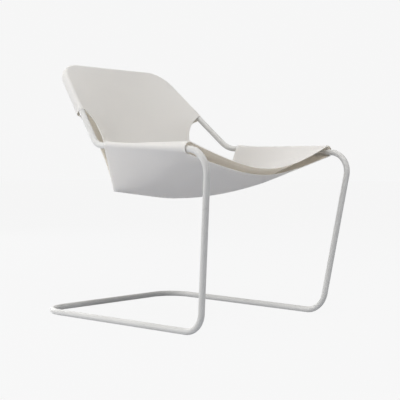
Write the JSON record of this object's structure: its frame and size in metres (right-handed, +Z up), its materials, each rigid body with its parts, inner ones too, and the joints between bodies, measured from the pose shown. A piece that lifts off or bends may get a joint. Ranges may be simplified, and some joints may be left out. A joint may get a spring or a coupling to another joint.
{
  "type": "lounge chair",
  "caption": "Cantilever lounge chair: a round steel bar bent into a closed loop, with a canvas cover that hoods the back and slings between the seat rails.",
  "frame": {"origin": "on the floor, in the middle of the bar frame from side to side and front to back", "axes": "+Z up, -Y the chair's front, +X the sitter's left"},
  "size_m": [0.7004, 0.7784, 0.816],
  "materials": {
    "powder_coat": "satin off-white powder coat",
    "canvas": "plain-weave off-white canvas",
    "canvas_lining": "plain-weave off-white canvas, rear and under side"
  },
  "bodies": {
    "root": {"rear_base_bar": "powder_coat", "left_rear_bend": "powder_coat", "right_rear_bend": "powder_coat", "left_base_bar": "powder_coat", "right_base_bar": "powder_coat", "left_foot_bend": "powder_coat", "right_foot_bend": "powder_coat", "left_leg": "powder_coat", "right_leg": "powder_coat", "left_knee_bend": "powder_coat", "right_knee_bend": "powder_coat", "left_seat_rail": "powder_coat", "right_seat_rail": "powder_coat", "left_hip_bend": "powder_coat", "right_hip_bend": "powder_coat", "left_back_bar": "powder_coat", "right_back_bar": "powder_coat", "left_top_bend": "powder_coat", "right_top_bend": "powder_coat", "top_bar": "powder_coat", "seat_upper_panel": "canvas", "seat_lower_panel": "canvas_lining", "left_seat_sleeve": "canvas", "right_seat_sleeve": "canvas", "back_inner_panel": "canvas", "back_outer_panel": "canvas_lining", "left_hood_sleeve": "canvas", "right_hood_sleeve": "canvas", "left_hood_corner": "canvas", "right_hood_corner": "canvas", "top_hood_sleeve": "canvas"}
  },
  "joints": []
}
